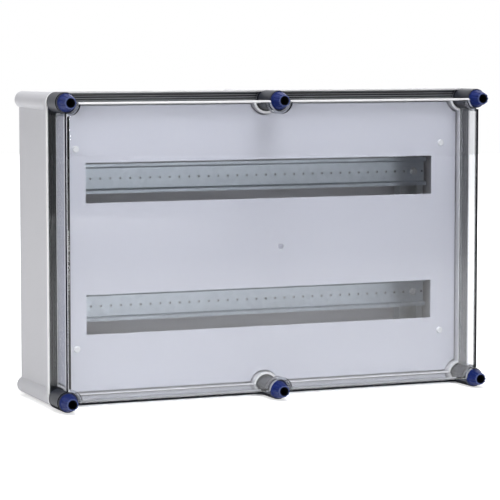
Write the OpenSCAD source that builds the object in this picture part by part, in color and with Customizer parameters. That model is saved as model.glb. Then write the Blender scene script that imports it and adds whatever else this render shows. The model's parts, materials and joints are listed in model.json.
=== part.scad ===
// Two-row modular distribution enclosure: moulded base, clear lid with six fasteners,
// front plate with two device windows, and two 35 mm mounting rails on C-section uprights.
// X runs to the right, Y to the rear and Z up. The lid faces -Y. The origin lies under the
// middle of the box, at the height of its lowest edge.

/* [Enclosure] */
// Width over the joint between base and lid
rim_w = 540; // [500:10:700]
// Height over the joint between base and lid
rim_h = 360; // [340:10:500]
// Depth of the base, from the joint to its back
base_d = 122; // [120:1:160]
// Depth of the lid, from the joint to its front face
lid_d = 44; // [36:1:60]
// How far the fastener tips stand out in front of the lid
tip_d = 10; // [8:0.5:12]

/* [Base moulding] */
// Thickness of the side walls and the back
base_t = 4; // [3:0.5:5]
// How far the side walls stand in from the edge of the joint
wall_inset = 7; // [6:0.5:8]
// Depth of the straight band along the joint
rim_band_d = 8; // [6:1:12]
// Depth of the sloping skirt behind that band
skirt_d = 15; // [8:1:20]
// Radius that each column loses towards the back
column_draft = 1; // [0:0.5:2]
// Thickness of the outer lip that surrounds the lid's flange
outer_lip_t = 1.8; // [1.5:0.1:2]
// How far the outer lip stands in front of the joint
outer_lip_d = 2; // [1.8:0.1:2.5]
// Thickness of the inner lip that holds the gasket
inner_lip_t = 3; // [2:0.5:3.5]
// Depth of the gasket groove
groove_d = 3; // [2.5:0.5:4]

/* [Lid] */
// Thickness of the lid's walls and flange
lid_t = 3; // [2.5:0.5:3.5]
// How far the lid's walls stand in from the edge of the joint
lid_inset = 11; // [10.5:0.5:12]
// Rounding of the lid's front edge
lid_edge_r = 3; // [1:0.5:3]
// How far the fastener seats lie behind the lid's front face
seat_d = 8; // [6:0.5:10]
// Radius of the notches round the fasteners
notch_r = 12.8; // [12.5:0.1:13.5]

/* [Fasteners] */
// Distance of each fastener's axis from the edge of the joint
fastener_inset = 11.5; // [11.5:0.5:12]
// Radius of the head where it meets its collar
head_base_r = 10; // [9:0.5:10.5]
// Radius of the head at its tip
head_tip_r = 6.8; // [6:0.1:7]
// Number of grip flutes on the head
flutes = 10; // [8:1:12]
// Radius of the shank
shank_r = 4; // [3.5:0.5:4]
// Corner radius of the six-sided socket
socket_r = 5.3; // [4:0.1:5.4]

/* [Front plate] */
// How far the plate's front face lies behind the joint
plate_set = 7; // [5:1:12]
// Thickness of the plate
plate_t = 1.5; // [1:0.5:2.5]
// Width of one device module
module_w = 18; // [17.5:0.5:18]
// Modules in one row
modules = 24; // [18:1:24]
// Free width left beside the outer modules
window_side = 5; // [2:1:8]
// Height of each device window
window_h = 46; // [45:1:48]
// Distance between the two rows
row_pitch = 151; // [125:1:160]
// Distance of the plate pins from the plate's upright middle line
pin_x = 233; // [233:1:235]
// Distance of the plate pins from the plate's level middle line
pin_z = 114.5; // [105:0.5:120]

/* [Rails] */
// Distance from the plate's front face to the front of the rails
rail_set = 75; // [50:1:76]
// Length of the rails
rail_l = 505; // [480:5:505]
// Pitch of the marker holes along each rail
marker_pitch = 12.5; // [10:0.5:25]
// Distance of the uprights from the upright middle line
upright_x = 236; // [235:1:236]
// Height of the uprights
upright_l = 286; // [276:2:290]

/* [Hidden] */
$fn = 64;

mid_z = rim_h / 2;
back_y = (base_d + lid_d + tip_d) / 2;
joint_y = back_y - base_d;
lid_y = joint_y - lid_d;
tip_y = lid_y - tip_d;

// Base
wall_w = rim_w - 2 * wall_inset;
wall_h = rim_h - 2 * wall_inset;
back_in_y = back_y - base_t;
groove_y = joint_y + groove_d;
band_y = joint_y + rim_band_d;
shelf_y = band_y + 4;
groove_w = fastener_inset - outer_lip_t;
column_r = fastener_inset - 0.5;
arch_t = 2.5;
eyelet_r = fastener_inset + 2;
arch_r = eyelet_r + arch_t;

// Fasteners, their collars and the sleeves that receive them
fastener_x = rim_w / 2 - fastener_inset;
fastener_z = rim_h / 2 - fastener_inset;
seat_y = lid_y + seat_d;
collar_t = 2;
collar_r = fastener_inset - 0.2;
boss_core_r = 7;
bush_r = boss_core_r - 0.2;
bush_gap = 0.5;
head_y = seat_y - collar_t;
head_ring_t = 2;
socket_d = 13;
shank_gap = 0.3;
sleeve_r = 6.5;
sleeve_d = 20;
shank_end_y = groove_y + sleeve_d - 3;
flute_r = 1.4;

// Lid
lid_w = rim_w - 2 * lid_inset;
lid_h = rim_h - 2 * lid_inset;
boss_r = fastener_inset;
flange_gap = 0.4;
flange_inset = outer_lip_t + flange_gap;
gate_r = 2.8;
gate_d = 0.8;

// Gasket
gasket_t = groove_d - 1;
gasket_ribs = 4;
gasket_rib_t = 1.1;
gasket_gap = 0.3;

// Front plate
plate_y = joint_y + plate_set;
plate_back_y = plate_y + plate_t;
plate_gap = 2;
plate_w = rim_w - 2 * (fastener_inset + inner_lip_t + plate_gap);
plate_h = rim_h - 2 * (fastener_inset + inner_lip_t + plate_gap);
window_w = modules * module_w + 2 * window_side;
rows = [-row_pitch / 2, row_pitch / 2];
pin_head_r = 3.9;
pin_head_t = 2.2;
pin_r = 3;
pin_l = 14;
pin_bore_r = pin_r + 0.3;

// Rails: 35 mm wide and 7.5 mm deep, rolled from 1 mm strip
rail_w = 35;
rail_d = 7.5;
rail_t = 1;
rail_channel_w = 27;
rail_bend_r = 0.8;
rail_y = plate_y + rail_set;
rail_back_y = rail_y + rail_d;
rail_screw_x = upright_x + 2;
rail_hole_r = 2.7;
marker_r = 1;

// Uprights: C-section profile with the slot to the front
upright_w = 32;
upright_d = 16;
upright_t = 2;
upright_slot = 15;
upright_back_y = rail_back_y + upright_d;
upright_screw_z = upright_l / 2 - 13;
foot_r = 8;

// Small hardware, all M5
bolt_r = 2.4;
bolt_hole_r = 2.6;
bolt_head_r = 4.5;
bolt_head_t = 3;
bolt_l = 12;
nut = [20, 10, 4];
post_r = 6;
post_bore_d = 18;

// Fixing holes in the back
fixing_x = fastener_x - 18.5;
fixing_z = fastener_z - 10.5;
fixing_r = 3.25;
fixing_pad_r = 8;
fixing_pad_t = 3;

// Extrudes an outline drawn in X and Z, about the middle of the box, from one depth to another
module deep(from_y, to_y) {
    translate([0, to_y, mid_z]) rotate([90, 0, 0]) linear_extrude(to_y - from_y) children();
}

// Stands a solid drawn along +Z at a place on the front, pointing to the rear
module rearward(x, y, z) {
    translate([x, y, mid_z + z]) rotate([-90, 0, 0]) children();
}

// Rectangle with round corners
module rounded(w, h, r) {
    square([w - 2 * r, h], center = true);
    square([w, h - 2 * r], center = true);
    for (x = [-1, 1], z = [-1, 1]) translate([x * (w / 2 - r), z * (h / 2 - r)]) circle(r);
}

// Copies an outline to each fastener's axis
module at_fasteners() {
    for (x = [-fastener_x, 0, fastener_x], z = [-fastener_z, fastener_z]) translate([x, z]) children();
}

// Sweeps a profile round a rectangle whose corner centres lie at x and z. In the profile,
// X is the distance out from the corner centres and Y the distance in front of the plane at_y.
module swept(x, z, at_y) {
    translate([0, at_y, mid_z]) rotate([90, 0, 0]) for (side = [0:3]) {
        reach = side % 2 == 0 ? x : z;
        run = side % 2 == 0 ? z : x;
        rotate([0, 0, 90 * side]) {
            translate([reach, 0, 0]) rotate([90, 0, 0]) linear_extrude(2 * run, center = true) children();
            translate([reach, run, 0]) rotate_extrude(angle = 90) children();
        }
    }
}

// Points along an arc
function arc(x, y, r, from, to, steps = 4) = [for (k = [0:steps])
    let (a = from + (to - from) * k / steps) [x + r * cos(a), y + r * sin(a)]];

// Sloping skirt behind the band, one wedge for each side between two columns
module skirt() {
    wedge = [[-wall_inset - 1, -rim_band_d], [0, -rim_band_d],
             [-wall_inset, -rim_band_d - skirt_d], [-wall_inset - 1, -rim_band_d - skirt_d]];
    translate([0, joint_y, mid_z]) rotate([90, 0, 0]) for (side = [0:3]) {
        reach = side % 2 == 0 ? rim_w / 2 : rim_h / 2;
        run = side % 2 == 0 ? fastener_z : fastener_x;
        rotate([0, 0, 90 * side]) translate([reach, 0, 0]) rotate([90, 0, 0])
            linear_extrude(2 * run, center = true) polygon(wedge);
    }
}

// Outline of the opening inside the inner lip, arched round the fasteners
module mouth_outline() {
    difference() {
        square([rim_w - 2 * (fastener_inset + inner_lip_t), rim_h - 2 * (fastener_inset + inner_lip_t)],
               center = true);
        at_fasteners() circle(arch_r);
    }
}

// Outline of the gasket groove: a band along the rim with an eyelet at each fastener
module groove_outline(gap = 0) {
    intersection() {
        rounded(rim_w - 2 * (outer_lip_t + gap), rim_h - 2 * (outer_lip_t + gap), groove_w - gap);
        union() {
            difference() {
                square([rim_w, rim_h], center = true);
                square([rim_w - 2 * (fastener_inset - gap), rim_h - 2 * (fastener_inset - gap)],
                       center = true);
            }
            at_fasteners() circle(eyelet_r - gap);
        }
    }
}

// Outside of the base, as one block
module base_block() {
    deep(joint_y, back_y) square([wall_w, wall_h], center = true);
    deep(joint_y - outer_lip_d, band_y) rounded(rim_w, rim_h, fastener_inset);
    skirt();
    for (x = [-fastener_x, 0, fastener_x], z = [-fastener_z, fastener_z])
        rearward(x, groove_y, z)
            cylinder(h = back_y - groove_y, r1 = column_r, r2 = column_r - column_draft);
}

// Base: one moulding with six columns for the lid fasteners
module base_housing() {
    color([0.82, 0.83, 0.85]) difference() {
        union() {
            difference() {
                base_block();
                deep(joint_y - outer_lip_d - 1, joint_y)
                    rounded(rim_w - 2 * outer_lip_t, rim_h - 2 * outer_lip_t, fastener_inset - outer_lip_t);
                deep(joint_y - 1, shelf_y + 1) mouth_outline();
                deep(shelf_y, back_in_y) difference() {
                    square([wall_w - 2 * base_t, wall_h - 2 * base_t], center = true);
                    at_fasteners() circle(column_r);
                }
                deep(joint_y - 1, groove_y) groove_outline();
            }
            deep(upright_back_y, back_in_y + 1) feet_outline();
            deep(back_in_y - fixing_pad_t, back_in_y + 1) fixing_outline(fixing_pad_r);
        }
        deep(joint_y - 1, groove_y + sleeve_d) at_fasteners() circle(sleeve_r);
        for (x = [-upright_x, upright_x], z = [-upright_screw_z, upright_screw_z])
            rearward(x, upright_back_y - 1, z) cylinder(h = bolt_l - upright_t + 1, r = bolt_hole_r);
        deep(back_in_y - fixing_pad_t - 1, back_y + 1) fixing_outline(fixing_r);
    }
}

// Feet that the uprights stand on
module feet_outline() {
    for (x = [-upright_x, upright_x], z = [-upright_screw_z, upright_screw_z])
        translate([x, z]) circle(foot_r);
}

// Pads, or holes, of the wall fixings
module fixing_outline(r) {
    for (x = [-fixing_x, fixing_x], z = [-fixing_z, fixing_z]) translate([x, z]) circle(r);
}

// Gasket: a moulded strip with sealing ribs and an eyelet round each fastener
module lid_gasket() {
    rib_pitch = (groove_w - gasket_rib_t - 2 * gasket_gap) / (gasket_ribs - 1);
    color([0.12, 0.12, 0.13]) difference() {
        union() {
            deep(joint_y + groove_d - gasket_t, groove_y) groove_outline(gasket_gap);
            for (rib = [0:gasket_ribs - 1]) {
                inset = outer_lip_t + gasket_gap + rib * rib_pitch;
                deep(joint_y, groove_y) difference() {
                    rounded(rim_w - 2 * inset, rim_h - 2 * inset, fastener_inset - inset);
                    square([rim_w - 2 * (inset + gasket_rib_t), rim_h - 2 * (inset + gasket_rib_t)],
                           center = true);
                    at_fasteners() circle(eyelet_r - gasket_gap);
                }
            }
            deep(joint_y, groove_y) intersection() {
                groove_outline(gasket_gap);
                at_fasteners() difference() {
                    circle(eyelet_r - gasket_gap);
                    circle(eyelet_r - gasket_gap - gasket_rib_t);
                }
            }
        }
        deep(joint_y - 1, groove_y + 1) at_fasteners() circle(shank_r + 2 * shank_gap);
    }
}

// Sleeves pressed into the columns, one for each lid fastener
module fastener_sleeves() {
    color([0.75, 0.64, 0.36]) deep(groove_y, groove_y + sleeve_d) at_fasteners() difference() {
        circle(sleeve_r);
        circle(shank_r + shank_gap);
    }
}

// Lid: a clear top-hat moulding with a fastener boss at each corner and half way along
module lid() {
    color([0.8, 0.86, 0.88, 0.35]) difference() {
        union() {
            deep(lid_y, joint_y) rounded(lid_w, lid_h, lid_edge_r);
            deep(seat_y, joint_y - outer_lip_d - flange_gap) at_fasteners() circle(boss_r);
            deep(joint_y - lid_t, joint_y)
                rounded(rim_w - 2 * flange_inset, rim_h - 2 * flange_inset, fastener_inset - flange_inset);
        }
        deep(lid_y + lid_t, seat_y + lid_t + 1) difference() {
            square([lid_w - 2 * lid_t, lid_h - 2 * lid_t], center = true);
            at_fasteners() circle(notch_r + lid_t);
        }
        deep(seat_y + lid_t, joint_y + 1) difference() {
            square([lid_w - 2 * lid_t, lid_h - 2 * lid_t], center = true);
            at_fasteners() circle(boss_r);
        }
        deep(lid_y - 1, seat_y) at_fasteners() circle(notch_r);
        deep(seat_y - 1, joint_y + 1) at_fasteners() circle(boss_core_r);
        swept(lid_w / 2 - lid_edge_r, lid_h / 2 - lid_edge_r, lid_y) difference() {
            translate([0, -lid_edge_r]) square(lid_edge_r + 1);
            translate([0, -lid_edge_r]) circle(lid_edge_r);
        }
        rearward(0, lid_y - 1, 0) difference() {
            cylinder(h = 1 + gate_d, r = gate_r);
            cylinder(h = 1 + gate_d, r = gate_r / 3);
        }
    }
}

// Collars under the fastener heads, each on a bush that lines the lid's boss
module fastener_collars() {
    color([0.1, 0.12, 0.2]) difference() {
        union() {
            deep(head_y, seat_y) at_fasteners() circle(collar_r);
            deep(head_y, joint_y - bush_gap) at_fasteners() circle(bush_r);
        }
        deep(head_y - 1, joint_y) at_fasteners() circle(shank_r + shank_gap);
    }
}

// Captive lid fastener: fluted conical head with a six-sided socket, on a plain shank
module lid_fastener(x, z) {
    head_l = head_y - tip_y;
    flare = atan2(head_base_r - head_tip_r, head_l - head_ring_t);
    color([0.17, 0.22, 0.52]) rearward(x, tip_y, z) difference() {
        union() {
            cylinder(h = head_l - head_ring_t, r1 = head_tip_r, r2 = head_base_r);
            translate([0, 0, head_l - head_ring_t]) cylinder(h = head_ring_t, r = head_base_r + 0.4);
            cylinder(h = shank_end_y - tip_y - shank_r / 2, r = shank_r);
            translate([0, 0, shank_end_y - tip_y - shank_r / 2])
                cylinder(h = shank_r / 2, r1 = shank_r, r2 = shank_r / 2);
        }
        translate([0, 0, -1]) cylinder(h = socket_d + 1, r = socket_r, $fn = 6);
        for (k = [0:flutes - 1]) rotate([0, 0, 360 / flutes * (k + 0.5)])
            translate([head_tip_r + flute_r * 0.55, 0, 0]) rotate([0, flare, 0])
                translate([0, 0, -1]) cylinder(h = head_l - head_ring_t - 1, r = flute_r, $fn = 24);
    }
}

// Front plate: sheet with two device windows and a cut-out round each column
module front_plate() {
    color([0.74, 0.75, 0.79]) deep(plate_y, plate_back_y) difference() {
        rounded(plate_w, plate_h, 3);
        at_fasteners() circle(arch_r + plate_gap);
        for (z = rows) translate([0, z]) rounded(window_w, window_h, 0.8);
        for (x = [-pin_x, pin_x], z = [-pin_z, pin_z]) translate([x, z]) circle(pin_bore_r);
    }
}

// Slotted quarter-turn pin that holds the front plate on its post
module plate_pin(x, z) {
    color([0.88, 0.89, 0.9]) rearward(x, plate_y, z) difference() {
        union() {
            translate([0, 0, -pin_head_t * 0.6]) cylinder(h = pin_head_t * 0.6, r = pin_head_r);
            translate([0, 0, -pin_head_t])
                cylinder(h = pin_head_t * 0.4, r1 = pin_head_r - 0.9, r2 = pin_head_r);
            cylinder(h = pin_l - pin_r / 2, r = pin_r);
            translate([0, 0, pin_l - pin_r / 2]) cylinder(h = pin_r / 2, r1 = pin_r, r2 = pin_r / 2);
        }
        translate([-pin_head_r - 1, -0.5, -pin_head_t - 1]) cube([2 * pin_head_r + 2, 1, 2]);
    }
}

// Posts between the uprights and the front plate, each with a stud at its foot
module plate_posts() {
    color([0.7, 0.71, 0.72]) for (x = [-pin_x, pin_x], z = [-pin_z, pin_z])
        rearward(x, plate_back_y, z) difference() {
            union() {
                cylinder(h = rail_back_y - plate_back_y, r = post_r);
                cylinder(h = rail_back_y - plate_back_y + upright_t + nut[2], r = bolt_r);
            }
            translate([0, 0, -1]) cylinder(h = post_bore_d + 1, r = pin_bore_r);
        }
}

// Half of the rail's section, from its middle to one edge: X is up and Y is to the rear
function rail_half() = let (side = rail_channel_w / 2, in = rail_bend_r, out = rail_bend_r + rail_t)
    concat([[0, rail_d - rail_t]],
           arc(side - rail_t - in, rail_d - rail_t - in, in, 90, 0),
           arc(side + in, out, out, 180, 270),
           [[rail_w / 2, 0], [rail_w / 2, rail_t]],
           arc(side + in, out, in, 270, 180),
           arc(side - out, rail_d - out, out, 0, 90),
           [[0, rail_d]]);

// Mounting rail with a line of small marker holes
module din_rail(row) {
    markers = floor((rail_screw_x - 8) / marker_pitch);
    color([0.74, 0.77, 0.79]) difference() {
        for (way = [0, 1])
            translate([0, rail_y, mid_z + row]) mirror([0, 0, way]) rotate([90, 0, 90])
                linear_extrude(rail_l, center = true)
                    polygon([for (p = rail_half()) [p[1], p[0]]]);
        for (x = [-rail_screw_x, rail_screw_x])
            rearward(x, rail_back_y - rail_t - 1, row) cylinder(h = rail_t + 2, r = rail_hole_r);
        for (k = [-markers:markers])
            rearward(k * marker_pitch, rail_back_y - rail_t - 1, row)
                cylinder(h = rail_t + 2, r = marker_r, $fn = 24);
    }
}

// Upright: C-section strip that carries the rails and the posts
module upright(x) {
    lip_w = (upright_w - upright_slot) / 2;
    color([0.7, 0.73, 0.75]) difference() {
        translate([x, rail_back_y, mid_z - upright_l / 2]) linear_extrude(upright_l) difference() {
            translate([-upright_w / 2, 0]) square([upright_w, upright_d]);
            translate([-upright_w / 2 + upright_t, upright_t])
                square([upright_w - 2 * upright_t, upright_d - 2 * upright_t]);
            translate([-upright_w / 2 + lip_w, -1]) square([upright_slot, upright_t + 2]);
        }
        for (z = [-upright_screw_z, upright_screw_z])
            rearward(x, upright_back_y - upright_t - 1, z) cylinder(h = upright_t + 2, r = bolt_hole_r);
    }
}

// Pan-head screw lying along the depth, with its head towards the front
module pan_screw(x, y, z, l) {
    rearward(x, y, z) difference() {
        union() {
            translate([0, 0, -bolt_head_t * 0.7]) cylinder(h = bolt_head_t * 0.7, r = bolt_head_r);
            translate([0, 0, -bolt_head_t])
                cylinder(h = bolt_head_t * 0.3, r1 = bolt_head_r - 1, r2 = bolt_head_r);
            cylinder(h = l, r = bolt_r);
        }
        for (turn = [0, 90]) rotate([0, 0, turn])
            translate([-2.6, -0.5, -bolt_head_t - 1]) cube([5.2, 1, 2.4]);
    }
}

// Screws that hold the rails on the uprights
module rail_screws() {
    color([0.78, 0.79, 0.8]) for (x = [-rail_screw_x, rail_screw_x], row = rows)
        pan_screw(x, rail_back_y - rail_t, row, rail_t + upright_t + nut[2]);
}

// Nuts that slide in the uprights, for the rail screws and the posts
module slide_nuts() {
    places = [for (side = [-1, 1], row = rows) [side * rail_screw_x, row, 0],
              for (side = [-1, 1], z = [-pin_z, pin_z]) [side * pin_x, z, 0]];
    color([0.72, 0.72, 0.7]) for (p = places) difference() {
        translate([sign(p[0]) * upright_x - nut[0] / 2, rail_back_y + upright_t, mid_z + p[1] - nut[1] / 2])
            cube([nut[0], nut[2], nut[1]]);
        rearward(p[0], rail_back_y + upright_t - 1, p[1]) cylinder(h = nut[2] + 2, r = bolt_hole_r);
    }
}

// Screws that hold the uprights on the base
module upright_screws() {
    color([0.78, 0.79, 0.8])
        for (x = [-upright_x, upright_x], z = [-upright_screw_z, upright_screw_z])
            pan_screw(x, upright_back_y - upright_t, z, bolt_l - 1);
}

base_housing();
lid_gasket();
fastener_sleeves();
lid();
fastener_collars();
lid_fastener(-fastener_x, fastener_z);  // fastener_top_left
lid_fastener(0, fastener_z);  // fastener_top_middle
lid_fastener(fastener_x, fastener_z);  // fastener_top_right
lid_fastener(-fastener_x, -fastener_z);  // fastener_bottom_left
lid_fastener(0, -fastener_z);  // fastener_bottom_middle
lid_fastener(fastener_x, -fastener_z);  // fastener_bottom_right
front_plate();
plate_pin(-pin_x, pin_z);  // plate_pin_top_left
plate_pin(pin_x, pin_z);  // plate_pin_top_right
plate_pin(-pin_x, -pin_z);  // plate_pin_bottom_left
plate_pin(pin_x, -pin_z);  // plate_pin_bottom_right
plate_posts();
din_rail(rows[1]);  // din_rail_top
din_rail(rows[0]);  // din_rail_bottom
upright(-upright_x);  // upright_left
upright(upright_x);  // upright_right
rail_screws();
slide_nuts();
upright_screws();
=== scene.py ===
import json
import math

import bmesh
import bpy
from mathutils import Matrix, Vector


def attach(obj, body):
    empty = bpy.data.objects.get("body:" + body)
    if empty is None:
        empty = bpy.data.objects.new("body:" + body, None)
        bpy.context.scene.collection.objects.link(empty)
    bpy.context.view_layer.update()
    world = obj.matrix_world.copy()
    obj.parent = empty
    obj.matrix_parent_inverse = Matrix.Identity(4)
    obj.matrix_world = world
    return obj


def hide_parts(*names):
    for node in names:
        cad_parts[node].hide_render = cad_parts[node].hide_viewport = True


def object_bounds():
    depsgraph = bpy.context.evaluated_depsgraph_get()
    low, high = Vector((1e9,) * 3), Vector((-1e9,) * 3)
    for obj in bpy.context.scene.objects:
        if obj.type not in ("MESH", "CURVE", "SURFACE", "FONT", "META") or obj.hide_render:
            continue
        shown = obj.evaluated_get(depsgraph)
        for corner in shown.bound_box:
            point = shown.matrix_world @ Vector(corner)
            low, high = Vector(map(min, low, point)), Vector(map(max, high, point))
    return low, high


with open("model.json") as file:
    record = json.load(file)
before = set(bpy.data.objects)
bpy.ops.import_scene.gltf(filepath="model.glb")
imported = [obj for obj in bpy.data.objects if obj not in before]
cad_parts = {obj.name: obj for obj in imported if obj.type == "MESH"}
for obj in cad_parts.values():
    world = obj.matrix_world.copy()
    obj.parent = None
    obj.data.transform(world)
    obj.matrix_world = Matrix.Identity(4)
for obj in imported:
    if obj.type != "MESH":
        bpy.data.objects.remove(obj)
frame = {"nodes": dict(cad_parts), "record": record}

# Wall enclosure for modular devices, seen from the front left.
# X to the right, Y to the rear, Z up, in metres, as the frame gives it.

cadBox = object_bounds()
boxMin, boxMax = cadBox
midZ = (boxMin.z + boxMax.z) / 2
nodes = frame["nodes"]
record = frame["record"]
nodeBody = {name: body for body, members in record["behaviour"]["bodies"].items()
            for name in members}
slotOf = {row["node"]: row["material_slot"] for row in record["subparts"]}


cameraSettings = {
    "place": (-1.0854, -2.5382, 0.4147),
    "turn": 23.04,  # degrees from straight on, towards the right
    "dip": 5.08,  # degrees below level
    "lens": 167.75,
    "sensor": 36,
    "farthest": 50,
}


def addCamera():
    s = cameraSettings
    data = bpy.data.cameras.new("view_camera")
    data.lens = s["lens"]
    data.sensor_width = s["sensor"]
    data.clip_end = s["farthest"]
    camera = bpy.data.objects.new("view_camera", data)
    camera.location = s["place"]
    camera.rotation_euler = (math.radians(90 - s["dip"]), 0, math.radians(-s["turn"]))
    bpy.context.scene.collection.objects.link(camera)
    bpy.context.scene.camera = camera


addCamera()
print("camera placed")


class Wire:
    # a shader socket that adds Math nodes when it is used in a sum
    def __init__(self, shader, socket):
        self.shader = shader
        self.socket = socket

    def sum(self, operation, *others):
        return self.shader.add("ShaderNodeMath", {"operation": operation}, [self, *others])

    def __add__(self, other):
        return self.sum("ADD", other)

    __radd__ = __add__

    def __mul__(self, other):
        return self.sum("MULTIPLY", other)

    __rmul__ = __mul__

    def __sub__(self, other):
        return self.sum("SUBTRACT", other)

    def __rsub__(self, other):
        return self.shader.add("ShaderNodeMath", {"operation": "SUBTRACT"}, [other, self])

    def __truediv__(self, other):
        return self.sum("DIVIDE", other)

    def above(self, other):
        return self.sum("GREATER_THAN", other)

    def below(self, other):
        return self.sum("LESS_THAN", other)

    def size(self):
        return self.sum("ABSOLUTE")

    def least(self, other):
        return self.sum("MINIMUM", other)

    def root(self):
        return self.sum("SQRT")

    def fraction(self):
        return self.sum("FRACT")

    def clamp(self):
        return self.shader.add("ShaderNodeClamp", {}, [self])


class Shader:
    # one material, with a method that adds any node
    def __init__(self, name):
        self.material = bpy.data.materials.new(name)
        self.material.use_nodes = True
        self.tree = self.material.node_tree
        self.tree.nodes.clear()
        self.output = self.tree.nodes.new("ShaderNodeOutputMaterial")

    def add(self, kind, settings=None, inputs=None, result=0):
        node = self.tree.nodes.new(kind)
        for key, value in (settings or {}).items():
            setattr(node, key, value)
        pairs = inputs.items() if isinstance(inputs, dict) else enumerate(inputs or [])
        for key, value in pairs:
            if isinstance(value, Wire):
                self.tree.links.new(value.socket, node.inputs[key])
            else:
                node.inputs[key].default_value = value
        return Wire(self, node.outputs[result])

    def place(self, scale=(1, 1, 1)):
        coordinates = self.add("ShaderNodeTexCoord", result="Object")
        return self.add("ShaderNodeMapping", {}, {"Vector": coordinates, "Scale": scale})

    def axes(self):
        # X, Y and Z of the point, in metres
        coordinates = self.add("ShaderNodeTexCoord", result="Object")
        split = self.add("ShaderNodeSeparateXYZ", {}, [coordinates])
        return [Wire(self, split.socket.node.outputs[k]) for k in range(3)]

    def noise(self, scale, detail, rough, stretch=(1, 1, 1)):
        return self.add("ShaderNodeTexNoise", {}, {
            "Vector": self.place(stretch), "Scale": scale, "Detail": detail, "Roughness": rough})

    def mix(self, factor, first, second):
        return self.add("ShaderNodeMix", {"data_type": "RGBA"}, {0: factor, 6: first, 7: second},
                        result=2)

    def bump(self, height, strength, distance):
        return self.add("ShaderNodeBump", {}, {
            "Height": height, "Strength": strength, "Distance": distance})

    def principled(self, **values):
        inputs = {key.replace("_", " "): value for key, value in values.items()}
        return self.add("ShaderNodeBsdfPrincipled", {}, inputs)

    def blend(self, factor, first, second):
        return self.add("ShaderNodeMixShader", {}, [factor, first, second])

    def surface(self, shader):
        self.tree.links.new(shader.socket, self.output.inputs["Surface"])
        return self.material


# In the finishes, a noise is its scale, detail and roughness, a relief is a bump's
# strength and its distance in metres, and places are in metres.

fastenerPlaces = {
    "x": 0.2585,  # the outer axes, from the middle
    "z": 0.1685,
    "seatY": -0.0705,  # where the heads sit
    "tipY": boxMin.y,
}


def fastenerDistance(m):
    # distance from the nearest fastener axis, and the point's Y
    x, y, z = m.axes()
    side = (x.size() - fastenerPlaces["x"]).size()
    across = side.least(x.size())
    up = ((z - midZ).size() - fastenerPlaces["z"]).size()
    return (across * across + up * up).root(), y


housingFinish = {
    "dark": (0.50, 0.50, 0.535, 1), "light": (0.56, 0.56, 0.595, 1),
    "lip": (0.96, 0.96, 0.97, 1), "lipY": -0.0338,  # painted highlight: the lip round the lid is near-white in front of this
    "rough": 0.38, "roughSpread": 0.12,
    "clouds": (9, 4, 0.55), "grain": (1400, 2, 0.6), "relief": (0.16, 0.0004),
}


def housingPlastic():
    # filled moulding: satin, with a fine spark-eroded grain and faint flow clouds, and a painted
    # highlight along the lip round the lid
    m = Shader("housing_plastic")
    s = housingFinish
    grain = m.noise(*s["grain"])
    clouds = m.noise(*s["clouds"])
    y = m.axes()[1]
    colour = m.mix(clouds, s["dark"], s["light"])
    # painted highlight: the lip round the lid is coloured near-white
    colour = m.mix(y.below(s["lipY"]), colour, s["lip"])
    return m.surface(m.principled(
        Base_Color=colour, Roughness=s["rough"] + clouds * s["roughSpread"], IOR=1.5,
        Normal=m.bump(grain, *s["relief"])))


lidFinish = {
    "tone": (0.93, 0.935, 0.945, 1), "shadowTone": (0.93, 0.94, 0.95, 1),
    "rough": 0.015, "bend": 1.52,
    "gateTone": (0.62, 0.63, 0.68, 1), "gateRadius": 0.0034, "gateRough": 0.3,
    # painted shade: the glass is tinted darker round each head
    "notchShadeTone": (0.62, 0.64, 0.68, 1), "notchRadius": 0.0155,
    "bushTone": (0.028, 0.031, 0.042, 1), "bushRough": 0.45, "bushGloss": 0.25,
    "bossRadius": 0.0126, "bossStep": 0.001,  # the bushes start this far in front of the seats
    # painted dark reflections along the right rim, down the left wall and along the foot
    "darkReflectionTone": (0.004, 0.004, 0.008, 1), "darkReflectionRough": 0.6,
    "rimY": -0.0745,  # the rim of the front lies in front of this
    "rightX": 0.2535, "rightRise": 330,  # painted dark reflection, darker outwards from here, per metre
    "leftX": -0.2583, "leftFront": -0.0728, "leftRear": -0.0674,  # a painted dark reflection in a band down the left wall
    "footZ": 0.0065, "footShare": 0.85,  # a painted dark reflection along the lowest edge of the flange
    "topHighlightTone": (0.93, 0.93, 0.96, 1), "topHighlightRough": 0.4,
    "topHighlightZ": 0.1667, "topHighlightShare": 0.7,  # painted highlight along the top of the rim, from the middle
}


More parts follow.
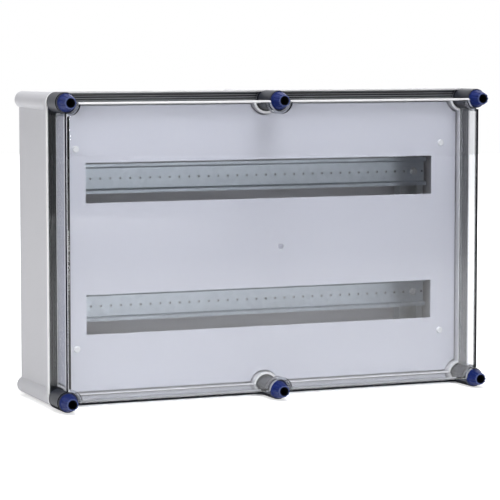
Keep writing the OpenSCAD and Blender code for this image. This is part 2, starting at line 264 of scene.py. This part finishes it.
def clearPlastic():
    # clear polycarbonate: painted dark reflections along its sides and foot, a painted highlight
    # along its top and painted shade round each head, frosted at its gate mark, with dark bushes
    # in the bosses; shadow rays pass, so the inside is lit
    m = Shader("clear_plastic")
    s = lidFinish
    x, y, z = m.axes()
    reach, depth = fastenerDistance(m)
    fromMiddle = (z - midZ).size()
    gate = (x * x + fromMiddle * fromMiddle).root().below(s["gateRadius"])
    # painted shade round each head
    tone = m.mix(reach.below(s["notchRadius"]), s["tone"], s["notchShadeTone"])
    glass = m.principled(
        Base_Color=m.mix(gate, tone, s["gateTone"]), Roughness=s["rough"] + gate * s["gateRough"],
        IOR=s["bend"], Transmission_Weight=1.0)
    clear = m.add("ShaderNodeBsdfTransparent", {}, {"Color": s["shadowTone"]})
    shadowRay = m.add("ShaderNodeLightPath", result="Is Shadow Ray")
    lens = m.blend(shadowRay, glass, clear)

    boss = reach.below(s["bossRadius"])
    boss = boss * depth.above(fastenerPlaces["seatY"] - s["bossStep"])
    bush = m.principled(Base_Color=s["bushTone"], Roughness=s["bushRough"],
                        Specular_IOR_Level=s["bushGloss"])
    bushed = m.blend(boss, lens, bush)

    rim = y.below(s["rimY"])
    # painted highlight: the top of the front rim is made pale and opaque
    topHighlight = (z - midZ).above(s["topHighlightZ"]) * rim * x.below(s["rightX"]) * s["topHighlightShare"]
    paintedHighlight = m.principled(Base_Color=s["topHighlightTone"], Roughness=s["topHighlightRough"])
    highlighted = m.blend(topHighlight, bushed, paintedHighlight)

    # painted dark reflections: the right rim, a band down the left wall and the foot are
    # near-black
    right = ((x - s["rightX"]) * s["rightRise"]).clamp() * rim
    left = x.below(s["leftX"]) * y.below(s["leftRear"]) * y.above(s["leftFront"])
    foot = z.below(s["footZ"]) * s["footShare"]
    edge = m.principled(Base_Color=s["darkReflectionTone"], Roughness=s["darkReflectionRough"],
                        Specular_IOR_Level=0.0)
    return m.surface(m.blend((right + left + foot).clamp(), highlighted, edge))


gasketFinish = {
    "dark": (0.006, 0.007, 0.008, 1), "light": (0.018, 0.019, 0.021, 1),
    # painted highlight on the crests of the ribs
    "highlightTone": (0.42, 0.43, 0.45, 1),
    "crestY": -0.0333, "crestZ": 0.1683,  # tops of the ribs, this far above and below the middle
    "rough": 0.35, "roughSpread": 0.2,
    "cells": (2600, 3, 0.6), "relief": (0.2, 0.0003),
}


def gasketRubber():
    # foam rubber, with a painted highlight on its sealing ribs along the top and the bottom
    m = Shader("gasket_rubber")
    s = gasketFinish
    cells = m.noise(*s["cells"])
    x, y, z = m.axes()
    # painted highlight on the rib crests along the top and the bottom
    crestHighlight = y.below(s["crestY"]) * (z - midZ).size().above(s["crestZ"])
    crestHighlight = crestHighlight * x.size().below(fastenerPlaces["x"])
    colour = m.mix(cells, s["dark"], s["light"])
    return m.surface(m.principled(
        Base_Color=m.mix(crestHighlight, colour, s["highlightTone"]),
        Roughness=s["rough"] + cells * s["roughSpread"], Normal=m.bump(cells, *s["relief"])))


headFinish = {
    "dark": (0.0045, 0.013, 0.1, 1), "light": (0.009, 0.024, 0.155, 1),
    # painted highlight in a ring round each tip
    "highlightTone": (0.07, 0.095, 0.24, 1), "tipRadius": 0.0071, "tipDepth": 0.0008,
    # painted shade: the socket and a round patch of the face about it are near-black
    "socket": (0.0008, 0.001, 0.004, 1), "socketRadius": 0.0054, "socketRough": 0.4,
    "rough": 0.36, "roughSpread": 0.12, "gloss": 0.16,
    "clouds": (120, 2, 0.5), "grain": (1800, 2, 0.5), "relief": (0.12, 0.0003),
}


def bluePlastic():
    # deep blue heads, with a painted highlight round the tip, and painted shade over the socket
    # and a round patch of the face about it
    m = Shader("blue_plastic")
    s = headFinish
    grain = m.noise(*s["grain"])
    clouds = m.noise(*s["clouds"])
    reach, depth = fastenerDistance(m)
    # painted highlight in a ring round each tip
    tip = reach.below(s["tipRadius"]) * depth.below(fastenerPlaces["tipY"] + s["tipDepth"])
    # painted shade over a round patch that takes in the socket
    socket = reach.below(s["socketRadius"])
    colour = m.mix(clouds, s["dark"], s["light"])
    colour = m.mix(tip, colour, s["highlightTone"])
    return m.surface(m.principled(
        Base_Color=m.mix(socket, colour, s["socket"]),
        Roughness=s["rough"] + grain * s["roughSpread"] + socket * s["socketRough"], IOR=1.5,
        Specular_IOR_Level=s["gloss"], Normal=m.bump(grain, *s["relief"])))


collarFinish = {
    "dark": (0.004, 0.006, 0.018, 1), "light": (0.009, 0.012, 0.032, 1),
    "bush": (0.035, 0.038, 0.05, 1), "bushRise": 1500,  # behind the seat, per metre
    "rough": 0.4, "roughSpread": 0.1,
    "grain": (1500, 2, 0.5), "relief": (0.1, 0.0003),
}


def darkPlastic():
    # near-black navy at the collar, dark grey down its bush
    m = Shader("dark_plastic")
    s = collarFinish
    grain = m.noise(*s["grain"])
    y = m.axes()[1]
    bush = ((y - fastenerPlaces["seatY"]) * s["bushRise"]).clamp()
    colour = m.mix(grain, s["dark"], s["light"])
    return m.surface(m.principled(
        Base_Color=m.mix(bush, colour, s["bush"]),
        Roughness=s["rough"] + grain * s["roughSpread"], Normal=m.bump(grain, *s["relief"])))


plateFinish = {
    "dark": (0.55, 0.56, 0.635, 1), "light": (0.59, 0.60, 0.675, 1),
    "rough": 0.45, "roughSpread": 0.08,
    "clouds": (7, 3, 0.5), "peel": (420, 3, 0.5), "relief": (0.12, 0.0006),
}


def platePaint():
    # powder coat with a slight orange peel
    m = Shader("plate_paint")
    s = plateFinish
    peel = m.noise(*s["peel"])
    clouds = m.noise(*s["clouds"])
    return m.surface(m.principled(
        Base_Color=m.mix(clouds, s["dark"], s["light"]),
        Roughness=s["rough"] + peel * s["roughSpread"], IOR=1.5,
        Normal=m.bump(peel, *s["relief"])))


pinFinish = {
    "dark": (0.72, 0.73, 0.76, 1), "light": (0.8, 0.81, 0.83, 1),
    "rough": 0.22, "roughSpread": 0.08, "coat": 0.3, "grain": (900, 2, 0.5),
}


def pinPlastic():
    # pale and glossy, as moulded
    m = Shader("pin_plastic")
    s = pinFinish
    grain = m.noise(*s["grain"])
    return m.surface(m.principled(
        Base_Color=m.mix(grain, s["dark"], s["light"]),
        Roughness=s["rough"] + grain * s["roughSpread"], IOR=1.5, Coat_Weight=s["coat"]))


zincFinish = {
    "dark": (0.6, 0.62, 0.64, 1), "light": (0.8, 0.81, 0.82, 1),
    "rough": 0.2, "roughSpread": 0.16, "scuffs": (700, 4, 0.6), "relief": (0.08, 0.0003),
}


def zincSteel():
    # bright plating with fine scuffs
    m = Shader("zinc_steel")
    s = zincFinish
    scuffs = m.noise(*s["scuffs"])
    return m.surface(m.principled(
        Base_Color=m.mix(scuffs, s["dark"], s["light"]), Metallic=1.0,
        Roughness=s["rough"] + scuffs * s["roughSpread"], Normal=m.bump(scuffs, *s["relief"])))


stripFinish = {
    "railDark": (0.44, 0.49, 0.55, 1), "railLight": (0.64, 0.69, 0.75, 1),
    "uprightDark": (0.4, 0.43, 0.45, 1), "uprightLight": (0.58, 0.61, 0.63, 1),
    "holeShade": (0.16, 0.18, 0.22, 1),  # painted shade round each marker hole
    "railZ": 0.0755, "markPitch": 0.0125, "markRadius": 0.0014,
    "metal": 0.85, "rough": 0.34, "spangleRough": 0.12, "lineRough": 0.08,
    "lineShare": 0.6, "lines": (60, 3, 0.6, (1, 30, 30)), "spangleScale": 160.0,
    "relief": (0.06, 0.0004),
}


def galvanisedStrip(name, dark, light, marked=False):
    # rolled strip: faint lines along its length, a soft zinc spangle, and painted shade round
    # each marker hole
    m = Shader(name)
    s = stripFinish
    lines = m.noise(*s["lines"])
    spangle = m.add("ShaderNodeTexVoronoi", {}, {"Vector": m.place(), "Scale": s["spangleScale"]},
                    result="Color")
    bright = m.add("ShaderNodeRGBToBW", {}, [spangle])
    colour = m.mix(lines * s["lineShare"] + bright * (1 - s["lineShare"]), dark, light)
    if marked:
        x, _, z = m.axes()
        along = ((x / s["markPitch"] + 0.5).fraction() - 0.5) * s["markPitch"]
        up = (z - midZ).size() - s["railZ"]
        rim = (along * along + up * up).root().below(s["markRadius"])
        # painted shade round each marker hole
        colour = m.mix(rim, colour, s["holeShade"])
    return m.surface(m.principled(
        Base_Color=colour, Metallic=s["metal"],
        Roughness=s["rough"] + bright * s["spangleRough"] + lines * s["lineRough"],
        Normal=m.bump(lines, *s["relief"])))


brassFinish = {
    "colour": (0.62, 0.47, 0.2, 1), "rough": 0.25, "roughSpread": 0.15,
    "turning": (300, 2, 0.5, (1, 12, 1)),
}


def sleeveBrass():
    # turned, with faint rings along its length
    m = Shader("sleeve_brass")
    s = brassFinish
    turning = m.noise(*s["turning"])
    return m.surface(m.principled(
        Base_Color=s["colour"], Metallic=1.0, Roughness=s["rough"] + turning * s["roughSpread"]))


finishes = {
    "housing_plastic": housingPlastic(),
    "clear_plastic": clearPlastic(),
    "gasket_rubber": gasketRubber(),
    "blue_plastic": bluePlastic(),
    "dark_plastic": darkPlastic(),
    "plate_paint": platePaint(),
    "pin_plastic": pinPlastic(),
    "zinc_steel": zincSteel(),
    "rail_steel": galvanisedStrip(
        "rail_steel", stripFinish["railDark"], stripFinish["railLight"], marked=True),
    "upright_steel": galvanisedStrip(
        "upright_steel", stripFinish["uprightDark"], stripFinish["uprightLight"]),
    "sleeve_brass": sleeveBrass(),
}
print("materials made")


def dress(obj, slotName):
    obj.data.materials.clear()
    obj.data.materials.append(finishes[slotName])


for name, node in nodes.items():
    dress(node, slotOf[name])
print("nodes dressed")


roundingSettings = {
    "merge": 2e-6,  # metres
    "flat": 0.5,  # degrees between faces that count as one
    "sharp": 25,  # an edge is rounded when it turns by more than this
    "shaded": 35,  # and shaded as a sharp one when it still turns by more than this
}


def rounded(nodeName, passes):
    # a copy of a node with its sharp edges rounded, standing for that node
    s = roundingSettings
    mesh = nodes[nodeName].data.copy()
    mesh.name = nodeName + "_moulded"
    bm = bmesh.new()
    bm.from_mesh(mesh)
    bmesh.ops.remove_doubles(bm, verts=bm.verts, dist=s["merge"])
    bmesh.ops.dissolve_limit(bm, angle_limit=math.radians(s["flat"]), verts=bm.verts,
                             edges=bm.edges)
    for width, strips, pick in passes:
        edges = [edge for edge in bm.edges if len(edge.link_faces) == 2
                 and edge.calc_face_angle(0) > math.radians(s["sharp"]) and pick(edge)]
        bmesh.ops.bevel(bm, geom=edges, offset=width, offset_type="OFFSET", segments=strips,
                        profile=0.5, affect="EDGES", clamp_overlap=True, material=-1)
    for face in bm.faces:
        face.smooth = True
    bm.to_mesh(mesh)
    bm.free()
    mesh.set_sharp_from_angle(angle=math.radians(s["shaded"]))
    obj = bpy.data.objects.new(nodeName + "_moulded", mesh)
    bpy.context.scene.collection.objects.link(obj)
    weighted = obj.modifiers.new("face_weighted", "WEIGHTED_NORMAL")
    weighted.keep_sharp = True
    dress(obj, slotOf[nodeName])
    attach(obj, nodeBody[nodeName])
    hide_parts(nodeName)
    return obj


edgePicks = {  # metres
    "lidFrontY": -0.0775, "lidFrontLength": 0.02,
    "railLength": 0.1, "railWidth": 0.003,
}


def anyEdge(edge):
    return True


def lidFront(edge):
    # the long edges round the lid's front face
    inFront = all(vert.co.y < edgePicks["lidFrontY"] for vert in edge.verts)
    return inFront and edge.calc_length() > edgePicks["lidFrontLength"]


def railBend(edge):
    # the folds along a rail, not the edges of its strip
    length = edge.calc_length()
    return length > edgePicks["railLength"] and all(
        face.calc_area() / length > edgePicks["railWidth"] for face in edge.link_faces)


edgeRounding = {  # for each node: width in metres, strips across the edge, and which edges
    "base_housing": [(0.0008, 3, anyEdge)],
    "lid_gasket": [(0.00035, 2, anyEdge)],
    "lid": [(0.0016, 5, lidFront), (0.0003, 2, anyEdge)],
    "fastener_collars": [(0.0003, 2, anyEdge)],
    "front_plate": [(0.0003, 2, anyEdge)],
    "din_rail_top": [(0.0009, 4, railBend)],
    "din_rail_bottom": [(0.0009, 4, railBend)],
    "rail_screws": [(0.0003, 2, anyEdge)],
    "plate_posts": [(0.0004, 2, anyEdge)],
    "upright_left": [(0.0005, 2, anyEdge)],
    "upright_right": [(0.0005, 2, anyEdge)],
}
slotRounding = {  # the same for every node of a slot
    "blue_plastic": [(0.00035, 2, anyEdge)],
    "pin_plastic": [(0.0003, 2, anyEdge)],
}
for name in nodes:
    if slotOf[name] in slotRounding:
        edgeRounding[name] = slotRounding[slotOf[name]]
for name, passes in edgeRounding.items():
    piece = rounded(name, passes)
    print("rounded", name, len(piece.data.polygons))


stageSettings = {
    "floorRadius": 6.0, "floorSides": 96,
    "floorGap": 0.0002,
    "floorColour": (0.9, 0.9, 0.9, 1), "floorRough": 0.9,
    "floorLift": 1.15,  # white that the floor adds for the eye and for reflections
    "nearLift": 0.52,  # its share close to the object, where the shadow shows
    "nearRadius": 0.6, "farRadius": 1.6,
    "dimStart": -0.3, "dimEnd": -1.8,  # reflections of the floor fade towards the front
}


def floorPaper():
    # matt white paper that keeps the object's shadow, and looks white to the eye and in
    # reflections
    m = Shader("floor_paper")
    s = stageSettings
    x, y, _ = m.axes()
    camera, glossy, transmission, diffuseDepth, glossyDepth = [
        m.add("ShaderNodeLightPath", result=kind) for kind in
        ("Is Camera Ray", "Is Glossy Ray", "Is Transmission Ray", "Diffuse Depth", "Glossy Depth")]
    white = (camera + glossy + transmission).clamp() * diffuseDepth.below(0.5)
    distance = (x * x + y * y).root()
    away = ((distance - s["nearRadius"]) / (s["farRadius"] - s["nearRadius"])).clamp()
    lift = away * (1 - s["nearLift"]) + s["nearLift"]
    ahead = ((y - s["dimStart"]) / (s["dimEnd"] - s["dimStart"])).clamp()
    ahead = ahead * glossyDepth.above(0.5)
    return m.surface(m.principled(
        Base_Color=s["floorColour"], Roughness=s["floorRough"], Specular_IOR_Level=0.0,
        Emission_Color=m.mix(white * lift * (1 - ahead), (0, 0, 0, 1), (1, 1, 1, 1)),
        Emission_Strength=s["floorLift"]))


def addFloor():
    s = stageSettings
    bm = bmesh.new()
    bmesh.ops.create_circle(bm, cap_ends=True, segments=s["floorSides"], radius=s["floorRadius"])
    bmesh.ops.translate(bm, verts=bm.verts, vec=(0, 0, -s["floorGap"]))
    bmesh.ops.recalc_face_normals(bm, faces=bm.faces)
    mesh = bpy.data.meshes.new("floor")
    bm.to_mesh(mesh)
    bm.free()
    obj = bpy.data.objects.new("floor", mesh)
    bpy.context.scene.collection.objects.link(obj)
    obj.data.materials.append(floorPaper())


lampSettings = {  # places, aims and sizes in metres, powers in watts
    "left_strip": {
        "place": (-1.3, -0.25, 0.07), "aim": (0, 0, 0.05), "size": (1.0, 0.1), "power": 1.8},
    "left_softbox": {
        "place": (-2.2, -0.5, 1.3), "aim": (-0.3, 0, 0), "size": (1.0, 1.0), "power": 3.5},
    "key_softbox": {
        "place": (-1.9, -2.4, 0.8), "aim": (0, 0, 0.18), "size": (1.0, 1.0), "power": 11.5},
    "front_softbox": {
        "place": (0.48, -3.0, 0.3), "aim": (0, 0, 0.18), "size": (0.25, 0.25), "power": 6},
    "top_softbox": {
        "place": (-0.1, -0.5, 2.4), "aim": (-0.1, -0.2, 0), "size": (1.2, 1.2), "power": 46},
    "edge_strip": {
        "place": (0.9, -0.25, 2.4), "aim": (0.9, -0.25, 0), "size": (0.7, 0.12), "power": 4},
    "back_softbox": {
        "place": (1.6, 2.4, 1.6), "aim": (0, 0, 0.2), "size": (1.6, 1.6), "power": 15},
}


def addLamps():
    for name, s in lampSettings.items():
        data = bpy.data.lights.new(name, "AREA")
        data.shape = "RECTANGLE"
        data.size, data.size_y = s["size"]
        data.energy = s["power"]
        lamp = bpy.data.objects.new(name, data)
        lamp.location = s["place"]
        lamp.rotation_mode = "QUATERNION"
        towards = Vector(s["aim"]) - Vector(s["place"])
        lamp.rotation_quaternion = towards.to_track_quat("-Z", "Y")
        lamp.visible_camera = False
        bpy.context.scene.collection.objects.link(lamp)


worldSettings = {
    "soft": 0.18,  # even light from all round
    "white": 1.0,
    "frontShade": 0.12,  # white's level towards the front, for rays after a reflection
    "shadeEnd": -0.45, "shadeStart": 0.15,  # Y of the direction
}


def addWorld():
    # white behind everything; the side that the lid faces is dim, as in a studio
    s = worldSettings
    world = bpy.data.worlds.new("studio")
    world.use_nodes = True
    tree = world.node_tree
    tree.nodes.clear()

    def node(kind, settings, *inputs):
        made = tree.nodes.new(kind)
        for key, value in settings.items():
            setattr(made, key, value)
        for socket, value in zip(made.inputs, inputs):
            if isinstance(value, bpy.types.NodeSocket):
                tree.links.new(value, socket)
            else:
                socket.default_value = value
        return made

    def combine(operation, first, second):
        return node("ShaderNodeMath", {"operation": operation}, first, second).outputs[0]

    path = node("ShaderNodeLightPath", {}).outputs
    generated = node("ShaderNodeTexCoord", {}).outputs["Generated"]
    direction = node("ShaderNodeSeparateXYZ", {}, generated).outputs["Y"]
    behind = node("ShaderNodeMapRange", {"interpolation_type": "SMOOTHSTEP"}, direction,
                  s["shadeEnd"], s["shadeStart"], s["frontShade"], s["white"]).outputs[0]
    level = combine("MAXIMUM", combine("LESS_THAN", path["Glossy Depth"], 0.5), behind)
    clear = combine("MAXIMUM", path["Is Camera Ray"], path["Is Transmission Ray"])
    seen = combine("MAXIMUM", clear, path["Is Glossy Ray"])
    shown = combine("MULTIPLY", seen, combine("LESS_THAN", path["Diffuse Depth"], 0.5))
    strength = combine("MAXIMUM", combine("MULTIPLY", shown, level), s["soft"])
    light = node("ShaderNodeBackground", {}, (1, 1, 1, 1), strength)
    node("ShaderNodeOutputWorld", {}, light.outputs[0])
    bpy.context.scene.world = world


addFloor()
addLamps()
addWorld()
bpy.context.scene.view_settings.view_transform = "Standard"
print("stage set")
